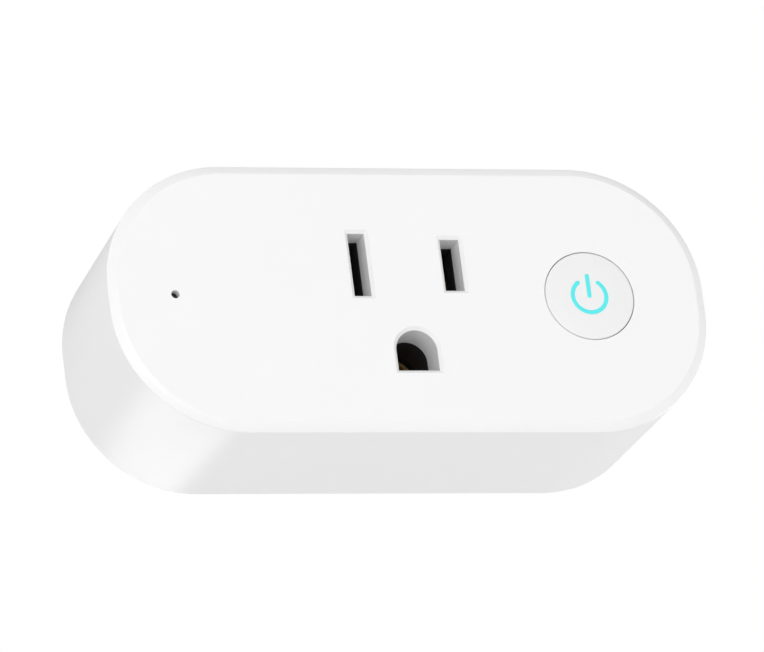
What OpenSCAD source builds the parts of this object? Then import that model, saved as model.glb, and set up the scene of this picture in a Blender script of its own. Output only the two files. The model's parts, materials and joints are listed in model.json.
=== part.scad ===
// Smart plug: a mains adapter in a long housing with round ends, with one grounded outlet in its face,
// a round lit button beside it, blades for the wall outlet behind it, and the relay, power supply
// and radio that switch the outlet inside.
//
// Each module is drawn with the plug on its back: X to the right along the face, Y up the face,
// and Z out of the wall towards the room, from the wall at 0 to the face at body_d.
// in_wall() then stands the plug up as it is used: the wall lies in the plane Y = 0.

/* [Body] */
// Length of the housing, along the longer side of the face
body_l = 81.3; // [80:0.1:88]
// Height of the housing, across the face
body_h = 36.9; // [36.5:0.1:38]
// Depth of the housing, from the wall to the face
body_d = 25; // [25:0.25:27]
// Radius of the four corners, which leave a short straight part in each end
corner_r = 16.9; // [16:0.1:18]
// How much smaller the housing is at the wall than at the face, all round
taper = 0.8; // [0.3:0.1:0.9]
// Thickness of the side wall
wall = 2; // [1.8:0.1:2.2]
// Thickness of the face
face_t = 2.2; // [2:0.1:2.4]
// Width of the sloping edge around the face, seen from the front
edge_in = 1.25; // [0.6:0.05:1.5]
// Depth of the same sloping edge, seen from the side
edge_deep = 0.65; // [0.4:0.05:0.8]

/* [Outlet] */
// Height of the two slots above the middle of the face
outlet_y = 4.7; // [4:0.1:5]
// Distance between the two slots
slot_pitch = 12.7; // [12.7]
// Distance from the slots down to the middle of the ground hole
ground_drop = 11.9; // [11.9]
// Width of the neutral slot
slot_w = 2.3; // [2.1:0.05:2.4]
// Width of the line slot
line_slot_w = 2.6; // [2.3:0.05:2.7]
// Height of the neutral slot, on the left
neutral_slot_h = 8.7; // [8.4:0.1:8.8]
// Height of the line slot, on the right
line_slot_h = 7.15; // [7:0.05:7.4]
// Width of the ground hole, with a round top and a flat foot
ground_w = 5.6; // [5.3:0.1:5.8]
// Width of the sloping lead-in around each hole
lead_in = 0.45; // [0.3:0.05:0.5]

/* [Button] */
// Place of the button along the face
button_x = 24.6; // [24:0.1:25]
// Radius of the button
button_r = 6.06; // [6:0.02:6.3]
// Gap between the button and the edge of its hole
button_gap = 0.1; // [0.1:0.01:0.2]
// How far the button travels when pressed
button_travel = 0.4; // [0.3:0.05:0.4]
// Radius of the power symbol, to the middle of its line
symbol_r = 2.3; // [2:0.1:2.6]
// Width of the power symbol's line
symbol_line = 0.56; // [0.4:0.02:0.7]
// Half of the opening at the top of the symbol's ring, in degrees
symbol_gap = 37; // [30:1:45]

/* [Indicator] */
// Place of the indicator hole along the face
indicator_x = -31.9; // [-32.5:0.1:-31.5]
// Radius of the indicator hole
indicator_r = 0.55; // [0.4:0.05:0.6]

/* [Wall blades] */
// Length of the two flat blades behind the wall face
blade_l = 17.5; // [16:0.1:18.2]
// Thickness of a blade
blade_t = 1.5; // [1.5]
// Width of the line blade
line_blade_w = 6.35; // [6.35]
// Width of the neutral blade
neutral_blade_w = 7.9; // [7.9]
// Length of the ground pin behind the wall face
pin_l = 20.6; // [20:0.1:21]
// Radius of the ground pin
pin_r = 2.39; // [2.39]

/* [Hidden] */
$fn = 64;

// A cut runs this far past the face that it opens.
past = 0.1;
// Bonded and pressed-together pieces stay this far apart.
fit = 0.02;

// Housing
end_r = body_h / 2;
corner_x = body_l / 2 - corner_r;
corner_y = end_r - corner_r;
face_in = body_d - face_t;
in_r = end_r - wall;
rim_round = 0.8;
rim_deep = 0.7;
rim_steps = 6;
edge_steps = 4;
edge_from = 54;
edge_to = 74;
cover_gap = 0.15;
cover_r = in_r - taper - cover_gap;
cover_t = 2;
cover_lip_t = 1.2;
cover_lip_top = 3;
cover_edge = 0.3;

// Screws that hold the rear cover on the front shell
cover_screw_at = [[33.4, 6.3], [-33.4, -6.3]];
shell_boss_r = 2.4;
shell_boss_room = 0.4;
cover_screw_r = 1.25;
cover_screw_head_r = 2.2;
cover_screw_head_t = 1;
cover_screw_tip = 11;
cover_screw_sink = 0.15;
drive_r = 0.75;
drive_deep = 0.7;

// Outlet
line_x = slot_pitch / 2;
ground_y = outlet_y - ground_drop;
lead_in_deep = 0.4;
slot_collar_z = body_d - 3.5;
ground_collar_z = body_d - 4.6;
collar_t = 1.4;

// Main board
board_t = 1.6;
board_z = 3.8;
board_top = board_z + board_t;
board_r = 15.5;
board_half = 20.5;
tail_z = 3;
post_at = [[-27.5, 11.5], [27.5, -11.5], [-30.5, -10.2], [30.5, 10.2]];
post_r = 1.7;
board_screw_r = 0.95;
screw_head_r = 1.8;
screw_head_t = 1.4;
board_screw_tip = 1;
sheet_z = 2.3;
sheet_t = 0.3;

// Contact carrier and the spring contacts in it
carrier_gap = 0.1;
carrier_z = board_top + carrier_gap;
carrier_top = slot_collar_z - carrier_gap;
carrier_ground_top = ground_collar_z - carrier_gap;
carrier_half_w = 10.3;
carrier_wall = 0.8;
carrier_roof = 3;
carrier_ground_half_w = 4.6;
carrier_foot = -0.5;
pocket_half_w = 2.6;
pocket_half_h = 4.5;
ground_pocket_r = 3.3;
clip_t = 0.5;
clip_half = 2;
clip_pinch = 0.7;
clip_mouth = 1.7;
clip_bend_z = 10;
clip_pinch_z = 15.8;
clip_top = 18;
clip_low_y = 0.7;
clip_w = 4.6;
clip_tab_w = 2.2;
clip_room = 0.1;
ground_clip_r = 2.45;
ground_clip_t = 0.5;
ground_clip_slit = 1.2;
ground_clip_top = 14;
pin_neck_r = 1.9;
pin_recess_r = 2.6;
pin_recess_t = 0.3;
pin_head_r = 3.2;
pin_head_t = 0.8;
ground_room_r = 3.8;
tab_y = 6.6;
tab_w = 1;
tab_top = 6.4;
blade_hole_r = 1.6;
blade_hole_z = -11.9;
blade_tip = 1.6;

// Button, its light guide and the switch under it
button_y = 0.35;
flange_r = 7.2;
flange_t = 1.2;
cap_top_t = 1.4;
cap_in_r = 4.6;
cap_foot = face_in - 0.1 - flange_t;
cap_edge = 0.2;
guide_disc_t = 1.2;
stem_r = 1.5;
stem_end = body_d - 7.5;
symbol_bar = 2.79;
control_t = 1.2;
control_top = body_d - 12.4;
control_z = control_top - control_t;
control_x = [12.2, 30.7];
control_half_h = 11.5;
control_screw_at = [[15.2, 9.6], [15.2, -9.6]];
control_boss_r = 1.9;
control_screw_r = 0.9;
control_screw_l = 4.2;
switch_size = 6;
switch_h = 3.5;
switch_top = control_top + switch_h;
switch_cover_t = 0.2;
plunger_r = 1.7;
plunger_room = 0.12;
plunger_deep = 0.8;
plunger_top = stem_end - 0.05;
switch_leg = [3.4, 2.25];
switch_leg_r = 0.35;
shroud_r = 7.6;
shroud_t = 1;
shroud_top = body_d - 4.1;
led = [1.6, 0.8, 0.7];
led_ring_r = 5.1;

// Indicator
indicator_y = 0.35;
pipe_r = 1;
pipe_tip_r = indicator_r - 0.05;
pipe_sunk = 1;
pipe_collar_t = 0.8;
pipe_collar_l = 6;

// Header between the two boards
header_x = 14;
header_pins_n = 5;
header_pitch = 2.54;
header_pin_r = 0.32;
header_block = [2.4, 12.7, 2.5];
header_top = control_top + 1;

// Radio module
radio_at = [23.3, 0];
radio_size = [15, 18, 0.8];
shield_size = [12, 10.5, 2.2];
shield_y = -2.6;
shield_t = 0.25;
antenna_t = 0.1;
antenna_line = 0.6;
antenna_turns = 4;
antenna_pitch = 2.4;
antenna_reach = 3.4;

// Relay
relay_at = [-20.3, 0];
relay_size = [18.8, 15.4, 15.2];
relay_wall = 0.8;
relay_base_t = 1.8;
relay_base_top = board_top + relay_base_t;
relay_lead_r = 0.45;
relay_leads = [[7.2, 5], [7.2, -5], [-7.2, 3.5], [-7.2, -3.5], [3, 5.5]];
yoke_t = 1.2;
yoke_x = [-4, 6];
yoke_half_w = 4;
yoke_top = relay_base_top + 9.6;
core_r = 1.7;
armature_gap = 0.46;
bobbin_flange = [7.6, 8.4, 0.7];
bobbin_r = 2.3;
bobbin_top = yoke_top - 0.9;
coil_r = 3.6;
armature_t = 1.2;
armature_x = [-5, 6.4];
armature_half_w = 3.6;
armature_rest = 0.05;
spring_t = 0.3;
spring_x = [-7.8, 2];
spring_half_w = 1.8;
rivet_r = 0.9;
rivet_x = -6.9;
rivet_t = 0.5;
contact_gap = 0.92;
fixed_arm = [-8.2, -5.9];

// Power supply parts: [place, size]
cap_at = [[-21.9, 11.6], [-15, 11.6]];
cap_r = 3.15;
cap_h = 11.5;
cap_crimp_z = 1.4;
cap_crimp = 0.25;
cap_leads = [1.25, -1.25];
varistor_at = [-16, -11.9];
varistor_r = 3.6;
varistor_t = 3.2;
varistor_lead_x = 2.5;
fuse_at = [-24.5, -11.9];
fuse_r = 1.4;
fuse_l = 6;
fuse_lead_x = 4;
fuse_z = 2;
lead_r = 0.3;
lead_room = 0.1;
choke_at = [0, 12.9];
choke_r = 2.6;
choke_h = 6;
choke_flange_t = 0.9;
choke_neck_r = 1.2;
choke_lead = 1.6;
rectifier_at = [7, 12.9];
rectifier_size = [4.6, 3.8, 1.6];
regulator_at = [-6.8, 12.9];
regulator_size = [4.9, 3.9, 1.5];

// Colours
white = [0.95, 0.95, 0.96];
soft_white = [0.92, 0.92, 0.93];
cyan = [0.35, 0.92, 0.93];
black = [0.08, 0.08, 0.09];
smoke = [0.2, 0.2, 0.22];
nickel = [0.75, 0.74, 0.7];
brass = [0.8, 0.65, 0.35];
copper = [0.72, 0.42, 0.25];
steel = [0.6, 0.61, 0.63];
board_green = [0.1, 0.35, 0.2];
relay_blue = [0.12, 0.25, 0.5];

// Stands the plug up, with its wall face in the plane Y = 0.
module in_wall() {
    rotate([90, 0, 0]) children();
}

module at_each(places) {
    for (p = places) translate(p) children();
}

// A plate with straight long sides and half-round ends.
module stadium(half, r, h) {
    for (side = [-1, 1]) translate([side * half, 0, 0]) cylinder(r = r, h = h);
    translate([-half, -r, 0]) cube([2 * half, 2 * r, h]);
}

// A solid with the housing's outline: straight long sides, round corners and a short straight part
// in each end. Its side follows a profile of [half height, z] points.
module housing_of(profile) {
    for (x = [-corner_x, corner_x], y = [-corner_y, corner_y]) translate([x, y, 0])
        rotate_extrude() polygon(moved(profile, -corner_y));
    rotate([90, 0, 90]) translate([0, 0, -corner_x]) linear_extrude(2 * corner_x)
        both_sides(profile);
    rotate([90, 0, 0]) translate([0, 0, -corner_y]) linear_extrude(2 * corner_y)
        both_sides(moved(profile, body_l / 2 - end_r));
}

module both_sides(profile) {
    polygon(profile);
    mirror([1, 0]) polygon(profile);
}

function moved(profile, by) = [for (p = profile) [p.x == 0 ? 0 : p.x + by, p.y]];

module housing_plate(r, h) {
    housing_of([[0, 0], [r, 0], [r, h], [0, h]]);
}

module centred_box(size) {
    translate([-size.x / 2, -size.y / 2, 0]) cube(size);
}

// Half of the housing's outline in section, with a soft rim at the wall and a rounded edge at the
// face that stops short of level, which leaves a fine crease around the flat of the face.
function housing_profile() = concat(
    [[0, 0]],
    [for (i = [0 : rim_steps - 1]) let (a = 90 * i / rim_steps)
        [end_r - taper - rim_round * (1 - sin(a)), rim_deep * (1 - cos(a))]],
    [[end_r - taper, rim_deep]],
    [for (i = [0 : edge_steps]) let (a = edge_from + (edge_to - edge_from) * i / edge_steps)
        [end_r - edge_in * (cos(edge_from) - cos(a)) / (cos(edge_from) - cos(edge_to)),
         body_d - edge_deep * (sin(edge_to) - sin(a)) / (sin(edge_to) - sin(edge_from))]],
    [[0, body_d]]);

// The section of a hole's lead-in: it opens out by lead_in on both sides, or on the low side only.
module lead_in_section(low, high, grow_high) {
    polygon([[-low, body_d - lead_in_deep], [high, body_d - lead_in_deep],
        [high + grow_high, body_d], [high + grow_high, body_d + past],
        [-low - lead_in, body_d + past], [-low - lead_in, body_d]]);
}

module lead_in_cut(half_x, low_y, high_y, grow_high) {
    intersection() {
        rotate([90, 0, 0]) translate([0, 0, -body_h]) linear_extrude(2 * body_h)
            lead_in_section(half_x, half_x, lead_in);
        rotate([90, 0, 90]) translate([0, 0, -body_h]) linear_extrude(2 * body_h)
            lead_in_section(low_y, high_y, grow_high);
    }
}

// A rectangular hole with a sloping lead-in at the face.
module slot_cut(w, h, low) {
    translate([-w / 2, -h / 2, low]) cube([w, h, body_d + past - low]);
    lead_in_cut(w / 2, h / 2, h / 2, lead_in);
}

// The ground hole's outline: round above, flat below.
module ground_outline() {
    r = ground_w / 2;
    circle(r = r);
    translate([-r, -r]) square([2 * r, r]);
}

module ground_cut(low) {
    r = ground_w / 2;
    translate([0, 0, low]) linear_extrude(body_d + past - low) ground_outline();
    lead_in_cut(r, r, 0, 0);
    translate([0, 0, body_d - lead_in_deep]) cylinder(r1 = r, r2 = r + lead_in, h = lead_in_deep);
    translate([0, 0, body_d]) cylinder(r = r + lead_in, h = past);
}

// The housing: face and side wall in one moulding, with collars behind the outlet's holes, bosses
// for the cover's and the control board's screws, and a sleeve for the indicator's light pipe.
module front_shell() {
    color(white) difference() {
        union() {
            difference() {
                housing_of(housing_profile());
                housing_of([[0, -past], [in_r - taper, -past], [in_r, face_in], [0, face_in]]);
            }
            at_each(cover_screw_at) translate([0, 0, cover_t + 0.1])
                cylinder(r = shell_boss_r, h = face_in - cover_t);
            at_each(control_screw_at) translate([0, 0, control_top])
                cylinder(r = control_boss_r, h = face_in - control_top + past);
            translate([indicator_x, indicator_y, face_in - pipe_collar_l])
                cylinder(r = pipe_r + 0.1 + pipe_collar_t, h = pipe_collar_l + past);
            translate([0, outlet_y, slot_collar_z])
                centred_box([slot_pitch + slot_w + 2 * collar_t,
                    neutral_slot_h + 2 * lead_in, face_in - slot_collar_z + past]);
            translate([0, ground_y, ground_collar_z])
                centred_box([ground_w + 2 * collar_t, ground_w + 2 * collar_t,
                    face_in - ground_collar_z + past]);
        }
        translate([-line_x, outlet_y, 0]) slot_cut(slot_w, neutral_slot_h, slot_collar_z - past);
        translate([line_x, outlet_y, 0]) slot_cut(line_slot_w, line_slot_h, slot_collar_z - past);
        translate([0, ground_y, 0]) ground_cut(ground_collar_z - past);
        translate([button_x, button_y, face_in - past])
            cylinder(r = button_r + button_gap, h = face_t + 2 * past);
        translate([indicator_x, indicator_y, 0]) {
            translate([0, 0, face_in - past]) cylinder(r = indicator_r, h = face_t + 2 * past);
            translate([0, 0, face_in - pipe_collar_l - past])
                cylinder(r = pipe_r + 0.1, h = pipe_collar_l + past);
        }
        at_each(cover_screw_at) cylinder(r = cover_screw_r, h = cover_screw_tip + 0.5);
        at_each(control_screw_at) translate([0, 0, control_z])
            cylinder(r = control_screw_r, h = control_t + control_screw_l);
    }
}

// The plate that closes the housing against the wall. It holds the blades and carries the board.
module rear_cover() {
    color(white) difference() {
        union() {
            housing_of([[0, 0], [cover_r - cover_edge, 0], [cover_r, cover_edge],
                [cover_r, cover_t], [0, cover_t]]);
            difference() {
                translate([0, 0, cover_t - past])
                    housing_plate(cover_r, cover_lip_top - cover_t + past);
                translate([0, 0, cover_t])
                    housing_plate(cover_r - cover_lip_t, cover_lip_top);
                at_each(cover_screw_at) translate([0, 0, cover_t])
                    cylinder(r = shell_boss_r + shell_boss_room, h = cover_lip_top);
            }
            at_each(post_at) cylinder(r = post_r, h = board_z);
        }
        at_each(cover_screw_at) {
            translate([0, 0, -past]) cylinder(r = cover_screw_r + 0.1, h = cover_t + 2 * past);
            translate([0, 0, -past])
                cylinder(r = cover_screw_head_r + 0.2, h = cover_screw_head_t + cover_screw_sink + past);
        }
        for (side = [-1, 1]) {
            w = side < 0 ? neutral_blade_w : line_blade_w;
            translate([side * line_x, outlet_y, -past]) centred_box([blade_t, w, cover_t + 2 * past]);
        }
        translate([0, ground_y, -past]) {
            cylinder(r = pin_neck_r + fit, h = cover_t + 2 * past);
            cylinder(r = pin_recess_r, h = pin_recess_t + past);
        }
        for (i = [0, 1]) translate([post_at[i].x, post_at[i].y, board_screw_tip])
            cylinder(r = board_screw_r, h = board_z);
    }
}

// A pan-head screw: its head sits below z = 0 and its shank runs up, with a cross recess.
module pan_screw(head_r, head_t, shank_r, shank_l) {
    difference() {
        union() {
            translate([0, 0, -head_t]) cylinder(r1 = head_r * 0.8, r2 = head_r, h = head_t * 0.5);
            translate([0, 0, -head_t * 0.5]) cylinder(r = head_r, h = head_t * 0.5);
            cylinder(r = shank_r, h = shank_l - shank_r);
            translate([0, 0, shank_l - shank_r]) cylinder(r1 = shank_r, r2 = shank_r * 0.4, h = shank_r);
        }
        for (a = [0, 90]) rotate(a) translate([0, 0, -head_t - past])
            centred_box([2 * drive_r, 0.4, drive_deep + past]);
    }
}

module rear_cover_screws() {
    head_seat = cover_screw_sink + cover_screw_head_t;
    color(steel) at_each(cover_screw_at) translate([0, 0, head_seat])
        pan_screw(cover_screw_head_r, cover_screw_head_t, cover_screw_r, cover_screw_tip - head_seat);
}

module main_board_screws() {
    color(steel) for (i = [0, 1]) translate([post_at[i].x, post_at[i].y, board_top])
        rotate([180, 0, 0])
            pan_screw(screw_head_r, screw_head_t, board_screw_r, board_top - board_screw_tip);
}

module control_board_screws() {
    color(steel) at_each(control_screw_at) translate([0, 0, control_z])
        pan_screw(screw_head_r, screw_head_t, control_screw_r, control_t + control_screw_l);
}

// The power symbol: an open ring with round ends, and a bar that stands in its opening.
module power_symbol(low, h, grow) {
    line = symbol_line / 2 + grow;
    translate([0, 0, low]) {
        difference() {
            cylinder(r = symbol_r + line, h = h);
            translate([0, 0, -past]) cylinder(r = symbol_r - line, h = h + 2 * past);
            translate([0, 0, -past]) linear_extrude(h + 2 * past)
                polygon([[0, 0], [-2 * symbol_r * tan(symbol_gap), 2 * symbol_r],
                    [2 * symbol_r * tan(symbol_gap), 2 * symbol_r]]);
        }
        for (side = [-1, 1]) rotate(side * symbol_gap) translate([0, symbol_r, 0])
            cylinder(r = line, h = h);
        for (y = [0, symbol_bar]) translate([0, y, 0]) cylinder(r = line, h = h);
        translate([-line, 0, 0]) cube([2 * line, symbol_bar, h]);
    }
}

// The white cap: flush with the face, kept in by a flange behind it, with the symbol cut through.
module button_cap() {
    color(soft_white) translate([button_x, button_y, 0]) difference() {
        union() {
            translate([0, 0, cap_foot]) cylinder(r = flange_r, h = flange_t);
            translate([0, 0, cap_foot]) cylinder(r = button_r, h = body_d - cap_edge - cap_foot);
            translate([0, 0, body_d - cap_edge])
                cylinder(r1 = button_r, r2 = button_r - cap_edge / 2, h = cap_edge);
        }
        translate([0, 0, cap_foot - past])
            cylinder(r = cap_in_r, h = body_d - cap_top_t - cap_foot + past);
        power_symbol(body_d - cap_top_t - past, cap_top_t + 2 * past, fit);
    }
}

// The clear piece bonded under the cap: it shows as the symbol, and its stem presses the switch.
module button_light_guide() {
    disc_top = body_d - cap_top_t;
    color(cyan) translate([button_x, button_y, 0]) {
        translate([0, 0, disc_top - guide_disc_t]) cylinder(r = cap_in_r - fit, h = guide_disc_t);
        translate([0, 0, stem_end]) cylinder(r = stem_r, h = disc_top - stem_end);
        power_symbol(disc_top - past, cap_top_t + past, 0);
    }
}

module button_light_shroud() {
    color(white) translate([button_x, button_y, control_top]) difference() {
        cylinder(r = shroud_r, h = shroud_top - control_top);
        translate([0, 0, -past]) cylinder(r = shroud_r - shroud_t, h = shroud_top);
    }
}

module button_leds() {
    color(white) translate([button_x, button_y, control_top])
        for (a = [0 : 90 : 270]) rotate(a) translate([0, led_ring_r, 0]) centred_box(led);
}

module switch_body() {
    color(black) translate([button_x, button_y, control_top]) difference() {
        centred_box([switch_size, switch_size, switch_h]);
        translate([0, 0, switch_h - plunger_deep - button_travel - past])
            cylinder(r = plunger_r + plunger_room, h = switch_h);
    }
}

module switch_cover() {
    color(steel) translate([button_x, button_y, switch_top]) difference() {
        centred_box([switch_size, switch_size, switch_cover_t]);
        translate([0, 0, -past]) cylinder(r = plunger_r + plunger_room, h = 1);
    }
}

module switch_plunger() {
    color(black) translate([button_x, button_y, switch_top - plunger_deep])
        cylinder(r = plunger_r, h = plunger_top - switch_top + plunger_deep);
}

// Where the switch's legs and the header's pins pass through the control board.
switch_legs = [for (sx = [-1, 1], sy = [-1, 1])
    [button_x + sx * switch_leg.x, button_y + sy * switch_leg.y]];
header_at = [for (i = [0 : header_pins_n - 1])
    [header_x, (i - (header_pins_n - 1) / 2) * header_pitch]];

module switch_terminals() {
    color(steel) at_each(switch_legs) translate([0, 0, control_z - 0.6])
        cylinder(r = switch_leg_r, h = control_t + 0.6 + 1);
}

module control_board() {
    color(board_green) difference() {
        translate([control_x[0], -control_half_h, control_z])
            cube([control_x[1] - control_x[0], 2 * control_half_h, control_t]);
        translate([0, 0, control_z - past]) {
            at_each(switch_legs) cylinder(r = switch_leg_r + 0.05, h = 2 * control_t);
            at_each(header_at) cylinder(r = header_pin_r + 0.05, h = 2 * control_t);
            at_each(control_screw_at) cylinder(r = control_screw_r + 0.15, h = 2 * control_t);
        }
    }
}

module header_block() {
    color(black) translate([header_x, 0, board_top]) difference() {
        centred_box(header_block);
        for (p = header_at) translate([0, p.y, -past])
            cylinder(r = header_pin_r, h = header_block.z + 2 * past);
    }
}

module header_pins() {
    color(brass) at_each(header_at) translate([0, 0, tail_z])
        cylinder(r = header_pin_r, h = header_top - tail_z);
}

// The light pipe carries the indicator's light from the board to the pinhole in the face.
module indicator_light_pipe() {
    foot = board_top + led.z + 0.1;
    shoulder = face_in - 0.1;
    color(smoke) translate([indicator_x, indicator_y, 0]) {
        translate([0, 0, foot]) cylinder(r = pipe_r, h = shoulder - foot);
        translate([0, 0, foot]) cylinder(r = pipe_tip_r, h = body_d - pipe_sunk - foot);
    }
}

module indicator_led() {
    color(white) translate([indicator_x, indicator_y, board_top]) centred_box(led);
}

// A flat blade with a tapered tip, a hole near its end, and a narrow tab soldered into the board.
module wall_blade(w) {
    tip_w = w / 2 - blade_tip;
    translate([0, outlet_y, 0]) difference() {
        union() {
            rotate([90, 0, 90]) translate([0, 0, -blade_t / 2]) linear_extrude(blade_t)
                polygon([[-w / 2, board_z], [-w / 2, -blade_l + blade_tip], [-tip_w, -blade_l],
                    [tip_w, -blade_l], [w / 2, -blade_l + blade_tip], [w / 2, board_z]]);
            translate([-blade_t / 2, tab_y - outlet_y, board_z - past])
                cube([blade_t, tab_w, tab_top - board_z + past]);
        }
        translate([-blade_t, 0, blade_hole_z]) rotate([0, 90, 0])
            cylinder(r = blade_hole_r, h = 2 * blade_t);
    }
}

module line_blade() {
    color(nickel) translate([line_x, 0, 0]) wall_blade(line_blade_w);
}

module neutral_blade() {
    color(nickel) translate([-line_x, 0, 0]) wall_blade(neutral_blade_w);
}

// The round ground pin, with a ball end, a shoulder on the cover and a riveted head inside it.
module ground_pin() {
    color(nickel) translate([0, ground_y, 0]) {
        translate([0, 0, pin_r - pin_l]) sphere(r = pin_r);
        translate([0, 0, pin_r - pin_l]) cylinder(r = pin_r, h = pin_l - pin_r);
        cylinder(r = pin_neck_r, h = cover_t + past);
        translate([0, 0, cover_t]) cylinder(r = pin_head_r, h = pin_head_t);
    }
}

// The insulating block behind the face that holds the three spring contacts apart.
module contact_carrier() {
    color(black) difference() {
        union() {
            translate([0, outlet_y, carrier_z]) centred_box([2 * carrier_half_w,
                2 * (pocket_half_h + carrier_wall), carrier_top - carrier_z]);
            translate([-carrier_ground_half_w, ground_y - carrier_ground_half_w, carrier_z])
                cube([2 * carrier_ground_half_w, carrier_ground_half_w - ground_y + carrier_foot,
                    carrier_ground_top - carrier_z]);
        }
        for (side = [-1, 1]) {
            h = side < 0 ? neutral_slot_h : line_slot_h;
            w = side < 0 ? slot_w : line_slot_w;
            translate([side * line_x, outlet_y, carrier_z - past]) {
                centred_box([2 * pocket_half_w, 2 * pocket_half_h,
                    carrier_top - carrier_roof - carrier_z + past]);
                centred_box([w, h, carrier_top - carrier_z + 2 * past]);
            }
        }
        translate([0, ground_y, carrier_z - past]) {
            cylinder(r = ground_pocket_r, h = carrier_ground_top - carrier_roof - carrier_z + past);
            linear_extrude(carrier_ground_top - carrier_z + 2 * past) ground_outline();
        }
    }
}

// A spring contact: two leaves that pinch the blade between them, on a base that stands on the board.
module blade_contact() {
    leaf = [[clip_half - clip_t, board_top], [clip_half, board_top], [clip_half, clip_bend_z],
        [clip_pinch + clip_t, clip_pinch_z], [clip_mouth + clip_t, clip_top],
        [clip_mouth, clip_top], [clip_pinch, clip_pinch_z], [clip_half - clip_t, clip_bend_z]];
    translate([0, clip_low_y + clip_w, 0]) rotate([90, 0, 0]) linear_extrude(clip_w) {
        for (side = [0, 1]) mirror([side, 0]) polygon(leaf);
        translate([-clip_half, board_top]) square([2 * clip_half, clip_t]);
    }
    for (side = [-1, 1])
        translate([side * (clip_half - clip_t / 2), clip_low_y + clip_w / 2, tail_z])
            centred_box([clip_t, clip_tab_w, board_top - tail_z + past]);
}

module line_contact() {
    color(brass) translate([line_x, 0, 0]) blade_contact();
}

module neutral_contact() {
    color(brass) translate([-line_x, 0, 0]) blade_contact();
}

// A split sleeve that grips a ground pin, on a base riveted to the plug's own ground pin.
module ground_contact() {
    base_z = cover_t + pin_head_t;
    outer_r = ground_clip_r + ground_clip_t;
    color(brass) translate([0, ground_y, base_z]) {
        cylinder(r = outer_r, h = ground_clip_t);
        difference() {
            cylinder(r = outer_r, h = ground_clip_top - base_z);
            translate([0, 0, ground_clip_t]) cylinder(r = ground_clip_r, h = ground_clip_top);
            translate([0, 0, 3 * ground_clip_t])
                for (a = [0, 90]) rotate(a)
                    centred_box([2 * outer_r + 1, ground_clip_slit, ground_clip_top]);
        }
    }
}

// Where a part's wire leads pass through the main board.
round_leads = concat(header_at,
    [for (p = relay_leads) relay_at + p],
    [for (c = cap_at, dx = cap_leads) [c.x + dx, c.y]],
    [for (s = [-1, 1]) varistor_at + [s * varistor_lead_x, 0]],
    [for (s = [-1, 1]) fuse_at + [s * fuse_lead_x, 0]],
    [for (s = [-1, 1]) choke_at + [s * choke_lead, 0]]);

module main_board() {
    color(board_green) difference() {
        translate([0, 0, board_z]) stadium(board_half, board_r, board_t);
        translate([0, 0, board_z - past]) {
            at_each(cover_screw_at) cylinder(r = shell_boss_r + shell_boss_room, h = 2 * board_t);
            at_each(round_leads) cylinder(r = relay_lead_r + lead_room, h = 2 * board_t);
            translate([0, ground_y, 0]) cylinder(r = ground_room_r, h = 2 * board_t);
            for (i = [0, 1]) translate(post_at[i])
                cylinder(r = board_screw_r + lead_room, h = 2 * board_t);
            for (side = [-1, 1]) {
                translate([side * line_x, tab_y + tab_w / 2, 0])
                    centred_box([blade_t + clip_room, tab_w + clip_room, 2 * board_t]);
                for (leaf = [-1, 1])
                    translate([side * line_x + leaf * (clip_half - clip_t / 2),
                        clip_low_y + clip_w / 2, 0])
                        centred_box([clip_t + clip_room, clip_tab_w + clip_room, 2 * board_t]);
            }
        }
    }
}

// A thin sheet that keeps the board's solder side away from the cover.
module insulation_sheet() {
    color([0.9, 0.86, 0.7]) difference() {
        translate([0, 0, sheet_z]) stadium(board_half, cover_r - cover_lip_t - 0.3, sheet_t);
        translate([0, 0, sheet_z - past]) {
            at_each(cover_screw_at) cylinder(r = shell_boss_r + shell_boss_room, h = 1);
            at_each(post_at) cylinder(r = post_r + lead_room, h = 1);
            translate([0, ground_y, 0]) cylinder(r = ground_room_r, h = 1);
            for (side = [-1, 1]) translate([side * line_x, outlet_y, 0])
                centred_box([blade_t + 0.4, neutral_blade_w + 0.4, 1]);
        }
    }
}

module radio_board() {
    color(board_green) translate([radio_at.x, radio_at.y, board_top]) centred_box(radio_size);
}

module radio_shield() {
    top = board_top + radio_size.z;
    color(steel) translate([radio_at.x, radio_at.y + shield_y, top]) difference() {
        centred_box(shield_size);
        translate([0, 0, -past]) centred_box([shield_size.x - 2 * shield_t,
            shield_size.y - 2 * shield_t, shield_size.z - shield_t + past]);
    }
}

// A folded line along the radio board's end.
module radio_antenna() {
    top = board_top + radio_size.z;
    low_y = radio_at.y + radio_size.y / 2 - antenna_reach - antenna_line;
    start_x = radio_at.x - antenna_turns * antenna_pitch / 2;
    color(copper) translate([start_x, low_y, top]) {
        for (i = [0 : antenna_turns]) translate([i * antenna_pitch, 0, 0])
            cube([antenna_line, antenna_reach, antenna_t]);
        for (i = [0 : antenna_turns - 1])
            translate([i * antenna_pitch, i % 2 == 0 ? antenna_reach - antenna_line : 0, 0])
                cube([antenna_pitch + antenna_line, antenna_line, antenna_t]);
    }
}

module relay_place() {
    translate([relay_at.x, relay_at.y, 0]) children();
}

module relay_base() {
    color(black) relay_place() {
        translate([0, 0, board_top]) centred_box([relay_size.x - 2 * relay_wall,
            relay_size.y - 2 * relay_wall, relay_base_t]);
        at_each(relay_leads) translate([0, 0, tail_z])
            cylinder(r = relay_lead_r, h = board_top - tail_z + past);
    }
}

module relay_case() {
    color(relay_blue) relay_place() translate([0, 0, board_top]) difference() {
        centred_box(relay_size);
        translate([0, 0, -past]) centred_box([relay_size.x - 2 * relay_wall,
            relay_size.y - 2 * relay_wall, relay_size.z - relay_wall + past]);
    }
}

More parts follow.
